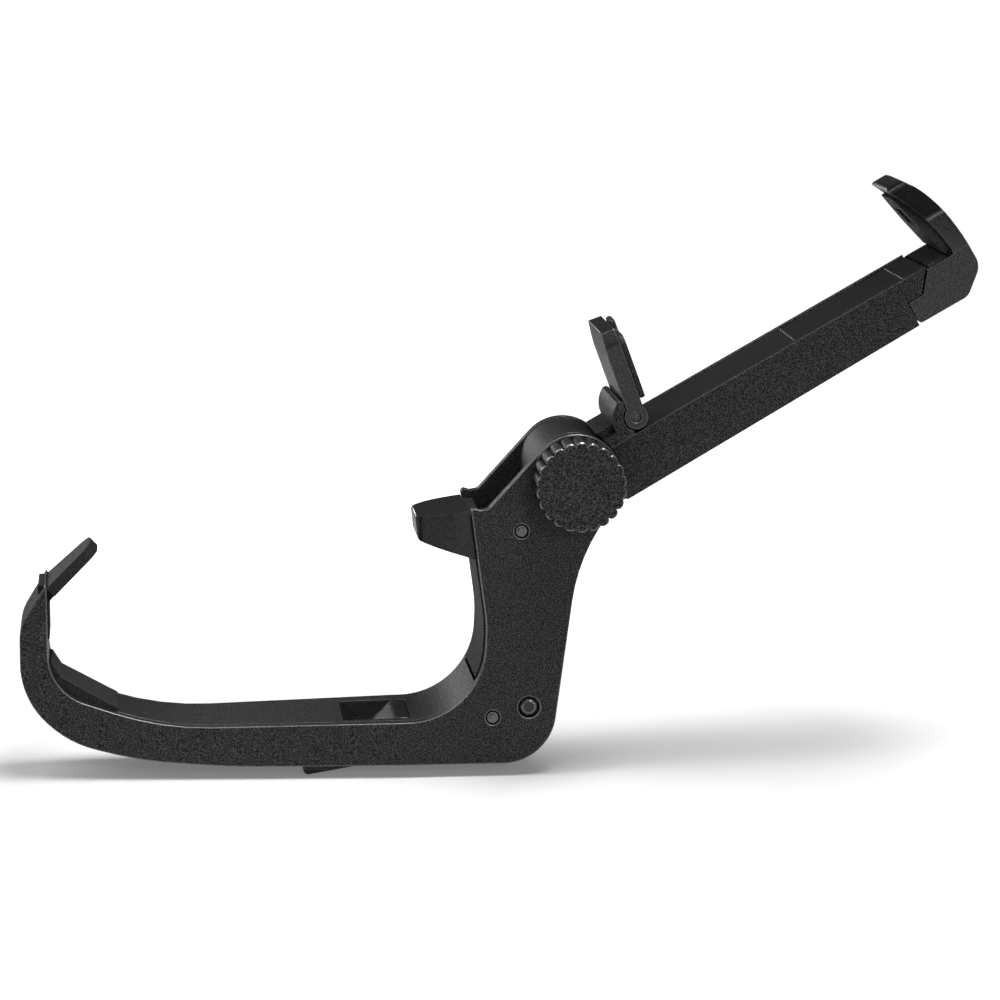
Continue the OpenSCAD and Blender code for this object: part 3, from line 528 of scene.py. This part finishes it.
# %% Helpers for node trees
def new_tree(name, inputs):
    """A geometry tree with named inputs. Returns it, its two ends and its two node makers."""
    tree = bpy.data.node_groups.new(name, "GeometryNodeTree")
    sockets = tree.interface
    sockets.new_socket("Geometry", in_out="OUTPUT", socket_type="NodeSocketGeometry")
    sockets.new_socket("Places", in_out="INPUT", socket_type="NodeSocketGeometry")
    for label, value in inputs.items():
        kind = "NodeSocketInt" if isinstance(value, int) else "NodeSocketFloat"
        sockets.new_socket(label, in_out="INPUT", socket_type=kind).default_value = value
    start = tree.nodes.new("NodeGroupInput").outputs
    end = tree.nodes.new("NodeGroupOutput")

    def add(kind, operation=None, **values):
        """Adds a node. A value has its socket's name, or i0, i1 and so on for its place."""
        node = tree.nodes.new(kind)
        if operation:
            node.operation = operation
        for key, value in values.items():
            label = key.replace("_", " ")
            by_place = label[0] == "i" and label[1:].isdigit()
            socket = node.inputs[int(label[1:]) if by_place else label]
            if isinstance(value, bpy.types.NodeSocket):
                tree.links.new(value, socket)
            else:
                socket.default_value = value
        return node

    def number(operation, *values):
        """Adds a Math node and returns its result."""
        by_place = {f"i{place}": value for place, value in enumerate(values)}
        return add("ShaderNodeMath", operation, **by_place).outputs[0]

    return tree, start, end, add, number


# A face is on a front rim where its normal's Y is between these. Such faces take the edge finish,
# whose lighter colour is a painted highlight.
RIM_FROM, RIM_TO = -0.93, -0.2


def close_tree(tree, end, add, geometry, finish, rim_highlight_finish=None):
    """Ends a tree as the export needs it: real geometry with one material, or two."""
    real = add("GeometryNodeRealizeInstances", Geometry=geometry)
    coated = add("GeometryNodeSetMaterial", Geometry=real.outputs[0], Material=finish)
    # The knob's front rims take the edge finish, whose lighter colour is a painted highlight.
    if rim_highlight_finish:
        normal = add("GeometryNodeInputNormal").outputs[0]
        towards = add("ShaderNodeSeparateXYZ", i0=normal).outputs["Y"]
        leans = add("ShaderNodeMath", "LESS_THAN", i0=towards, i1=RIM_TO).outputs[0]
        not_flat = add("ShaderNodeMath", "GREATER_THAN", i0=towards, i1=RIM_FROM).outputs[0]
        on_rim = add("ShaderNodeMath", "MULTIPLY", i0=leans, i1=not_flat).outputs[0]
        coated = add("GeometryNodeSetMaterial", Geometry=coated.outputs[0], Selection=on_rim,
                     Material=rim_highlight_finish)
    tree.links.new(coated.outputs[0], end.inputs[0])


def grown(node, tree, places, sizes, angle=35):
    """Runs a tree on these places and sizes, as a plain mesh that replaces a node."""
    points = bpy.data.meshes.new("places")
    points.from_pydata(places, [], [])
    holder = bpy.data.objects.new("places", points)
    scene.collection.objects.link(holder)
    modifier = holder.modifiers.new("tree", "NODES")
    modifier.node_group = tree
    for item in tree.interface.items_tree:
        if item.in_out == "INPUT" and item.name in sizes:
            modifier[item.identifier] = sizes[item.name]
    graph = bpy.context.evaluated_depsgraph_get()
    mesh = bpy.data.meshes.new_from_object(holder.evaluated_get(graph))
    bpy.data.objects.remove(holder)
    shape = bmesh.new()
    shape.from_mesh(mesh)
    bmesh.ops.remove_doubles(shape, verts=shape.verts, dist=WELD / 2)
    bmesh.ops.recalc_face_normals(shape, faces=shape.faces)
    shape.to_mesh(mesh)
    shape.free()
    mesh.shade_smooth()
    mesh.set_sharp_from_angle(angle=math.radians(angle))
    piece = bpy.data.objects.new(node.replace("_", "-"), mesh)
    scene.collection.objects.link(piece)
    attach(piece, BODY_OF[node])
    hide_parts(node)
    print(piece.name, "has", len(mesh.polygons), "faces")


# %% [markdown]
# ### The knob
# The knob is a round body whose radius swells and shrinks with the angle, once for each
# lobe. Lobes could be separate cylinders joined to a core, but a single skin moved in and
# out by a formula has no seams, and both rims can be rounded by the same formula.

# %% Plan the knob's tree
KNOB = {
    "Lobes": 22, "Radius": 9.25 * MM, "Depth": 0.85 * MM, "Thickness": 8.5 * MM,
    "Rim": 0.45 * MM, "Flange": 1.25 * MM, "Bore": 5.8 * MM, "Bore Depth": 1.4 * MM,
}
# Points round each lobe and along the knob.
LOBE_STEPS, SIDE_STEPS = 14, 34
# The two powers that give a lobe its round top and narrow valley.
LOBE_TOP, LOBE_VALLEY = 2.6, 0.7
# The share of the rim's rounding that comes off the radius.
RIM_SHARE = 0.7
tree, sizes, end, add, number = new_tree("knob", KNOB)
sides = number("MULTIPLY", sizes["Lobes"], LOBE_STEPS)
skin = add("GeometryNodeMeshCylinder", Vertices=sides, Side_Segments=SIDE_STEPS, Radius=1.0,
           Depth=sizes["Thickness"])
at = add("GeometryNodeInputPosition").outputs[0]
split = add("ShaderNodeSeparateXYZ", i0=at).outputs
turn = number("ARCTAN2", split[1], split[0])
phase = number("FRACT", number("MULTIPLY", number("DIVIDE", turn, 2 * math.pi), sizes["Lobes"]))
swing = number("SUBTRACT", number("MULTIPLY", phase, 2.0), 1.0)
bulge = number("SUBTRACT", 1.0, number("POWER", number("ABSOLUTE", swing), LOBE_TOP))
lobe = number("POWER", bulge, LOBE_VALLEY)
radius = number("ADD", number("SUBTRACT", sizes["Radius"], sizes["Depth"]),
                number("MULTIPLY", sizes["Depth"], lobe))
half = number("MULTIPLY", sizes["Thickness"], 0.5)
past = number("MAXIMUM", 0.0, number("SUBTRACT", number("ABSOLUTE", split[2]),
                                     number("SUBTRACT", half, sizes["Rim"])))
rim = number("SUBTRACT", sizes["Rim"], number("SQRT", number("MAXIMUM", 0.0, number(
    "SUBTRACT", number("MULTIPLY", sizes["Rim"], sizes["Rim"]), number("MULTIPLY", past, past)))))
reach = number("SUBTRACT", radius, number("MULTIPLY", rim, RIM_SHARE))
moved = add("ShaderNodeCombineXYZ", i0=number("MULTIPLY", split[0], reach),
            i1=number("MULTIPLY", split[1], reach), i2=split[2])
body = add("GeometryNodeSetPosition", Geometry=skin.outputs[0], Position=moved.outputs[0])
print("the knob's skin takes", len(tree.nodes), "nodes")

# %% Add the knob's flange and bore
flange = add("GeometryNodeMeshCylinder", Vertices=96, Radius=sizes["Radius"],
             Depth=sizes["Flange"])
back = number("MULTIPLY", -0.5, number("ADD", sizes["Thickness"], sizes["Flange"]))
flange_place = add("ShaderNodeCombineXYZ", i2=back)
flange = add("GeometryNodeTransform", Geometry=flange.outputs[0],
             Translation=flange_place.outputs[0])
bore = add("GeometryNodeMeshCylinder", Vertices=64, Radius=sizes["Bore"],
           Depth=number("MULTIPLY", sizes["Bore Depth"], 2.0))
bore_place = add("ShaderNodeCombineXYZ", i2=number(
    "SUBTRACT", number("MULTIPLY", sizes["Thickness"], -0.5), sizes["Flange"]))
bore = add("GeometryNodeTransform", Geometry=bore.outputs[0], Translation=bore_place.outputs[0])
whole = add("GeometryNodeMeshBoolean", "UNION")
tree.links.new(body.outputs[0], whole.inputs["Mesh 2"])
tree.links.new(flange.outputs[0], whole.inputs["Mesh 2"])
hollow = add("GeometryNodeMeshBoolean", "DIFFERENCE")
tree.links.new(whole.outputs[0], hollow.inputs["Mesh 1"])
tree.links.new(bore.outputs[0], hollow.inputs["Mesh 2"])
facing = add("FunctionNodeEulerToRotation", Euler=(math.pi / 2, 0, 0))
copies = add("GeometryNodeInstanceOnPoints", Points=sizes["Places"], Instance=hollow.outputs[0],
             Rotation=facing.outputs[0])
close_tree(tree, end, add, copies.outputs[0], FINISH["grained_black"],
           rim_highlight_finish=EDGE_GLOSS_AND_HIGHLIGHT["grained_black"])
print("the whole knob takes", len(tree.nodes), "nodes")

# %% Grow the knob
knob_low, knob_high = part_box("clamp_knob")
knob_at = (
    (knob_low[0] + knob_high[0]) / 2,
    knob_low[1] + KNOB["Thickness"] / 2,
    (knob_low[2] + knob_high[2]) / 2,
)
KNOB["Flange"] = knob_high[1] - knob_low[1] - KNOB["Thickness"]
grown("clamp_knob", tree, [knob_at], KNOB, angle=40)

# %% [markdown]
# ### Screws
# Every screw is the same shape at another size: a head with a six-sided socket, and a
# shank. Each could be modelled by hand, but one tree can build them all. It starts the
# screw at its head's face, where the solid's own end is, and turns it to the direction
# that its set needs. The small bevel on the head is a short cone.

# %% Plan the screw's tree
SCREW = {
    "Head": 1.35 * MM, "Head Height": 1.0 * MM, "Chamfer": 0.2 * MM, "Socket": 0.75 * MM,
    "Socket Depth": 0.6 * MM, "Shank": 0.8 * MM, "Length": 6.0 * MM,
}
HEAD_SIDES, SHANK_SIDES, SOCKET_SIDES = 40, 24, 6


def screw_tree(turn, finish):
    """A screw on every place, which starts at its head's face and points where turn says."""
    tree, sizes, end, add, number = new_tree("screw", SCREW)

    def rod(sides, radius, start, length):
        middle = number("ADD", start, number("MULTIPLY", length, 0.5))
        place = add("ShaderNodeCombineXYZ", i2=middle).outputs[0]
        shape = add("GeometryNodeMeshCylinder", Vertices=sides, Radius=radius, Depth=length)
        return add("GeometryNodeTransform", Geometry=shape.outputs[0], Translation=place)

    chamfer = add("GeometryNodeMeshCone", Vertices=HEAD_SIDES, Radius_Top=sizes["Head"],
                  Radius_Bottom=number("SUBTRACT", sizes["Head"], sizes["Chamfer"]),
                  Depth=sizes["Chamfer"])
    under = number("SUBTRACT", sizes["Head Height"], sizes["Chamfer"])
    head = rod(HEAD_SIDES, sizes["Head"], sizes["Chamfer"], under)
    shank = rod(SHANK_SIDES, sizes["Shank"], sizes["Head Height"], sizes["Length"])
    socket = add("GeometryNodeMeshCylinder", Vertices=SOCKET_SIDES, Radius=sizes["Socket"],
                 Depth=number("MULTIPLY", sizes["Socket Depth"], 2.0))
    solid = add("GeometryNodeMeshBoolean", "UNION")
    for part in (chamfer, head, shank):
        tree.links.new(part.outputs[0], solid.inputs["Mesh 2"])
    drilled = add("GeometryNodeMeshBoolean", "DIFFERENCE")
    tree.links.new(solid.outputs[0], drilled.inputs["Mesh 1"])
    tree.links.new(socket.outputs[0], drilled.inputs["Mesh 2"])
    facing = add("FunctionNodeEulerToRotation", Euler=turn)
    copies = add("GeometryNodeInstanceOnPoints", Points=sizes["Places"],
                 Instance=drilled.outputs[0], Rotation=facing.outputs[0])
    close_tree(tree, end, add, copies.outputs[0], finish)
    return tree


# %% Grow the screws
def screws(node, axis, length, head_height=1.0):
    """Puts a screw at the head's end of every solid in a node, along the axis, in mm."""
    turn = tuple(axis.to_track_quat("Z", "Y").to_euler())
    tree = screw_tree(turn, FINISH[SLOT_OF[node]])
    places = [tuple(place) for place in lowest_ends(node, axis)]
    own_sizes = {"Head Height": head_height * MM, "Length": length * MM}
    grown(node, tree, places, {**SCREW, **own_sizes})


screws("cover_screws", ACROSS, 15.0)
screws("arm_screws", UP, 9.0)
screws("rail_screws", UP, 3.6, head_height=0.9)

# %% [markdown]
# ### Ribs on the rubber pad
# The soft pad at the foot of the finger has ribs along the arm. They could be a wave in the
# pad's surface, but bars stay round at any pitch. So one rib is a round bar, partly sunk in
# a thin sheet, and the tree repeats it on points that are a pitch apart.

# %% Grow the ribbed pad
RIB_COUNT = 7
# A rib's width as a share of the pitch, and its length as a share of the pad's.
RIB_WIDTH, RIB_LENGTH = 0.55, 0.72
pad_low, pad_high = arm_box("ribbed_pad")
pitch = (pad_high.y - pad_low.y) / RIB_COUNT
RIBS = {
    "Length": pad_high.x - pad_low.x, "Pad Width": pad_high.y - pad_low.y,
    "Width": RIB_WIDTH * pitch, "Base": 0.3 * MM,
}
tree, sizes, end, add, number = new_tree("ribs", RIBS)
bar = add("GeometryNodeMeshCylinder", Vertices=20, Radius=number("MULTIPLY", sizes["Width"], 0.5),
          Depth=number("MULTIPLY", sizes["Length"], RIB_LENGTH))
lying = add("GeometryNodeTransform", Geometry=bar.outputs[0], Rotation=(0, math.pi / 2, 0))
copies = add("GeometryNodeInstanceOnPoints", Points=sizes["Places"], Instance=lying.outputs[0])
size = add("ShaderNodeCombineXYZ", i0=sizes["Length"], i1=sizes["Pad Width"], i2=sizes["Base"])
sheet = add("GeometryNodeMeshCube", Size=size.outputs[0])
together = add("GeometryNodeJoinGeometry")
tree.links.new(copies.outputs[0], together.inputs[0])
tree.links.new(sheet.outputs[0], together.inputs[0])
middle = (pad_low + pad_high) / 2
seat = PIVOT + ALONG * middle.x + ACROSS * middle.y + UP * (pad_low.z + RIBS["Base"] / 2)
placed = add("GeometryNodeTransform", Geometry=together.outputs[0], Translation=tuple(seat),
             Rotation=(0, ARM_TURN, 0))
close_tree(tree, end, add, placed.outputs[0], FINISH["dark_rubber"])
rib_rise = pad_high.z - pad_low.z - RIBS["Width"] / 2 - RIBS["Base"] / 2
rib_at = [(0.0, (i - (RIB_COUNT - 1) / 2) * pitch, rib_rise) for i in range(RIB_COUNT)]
grown("ribbed_pad", tree, rib_at, RIBS)
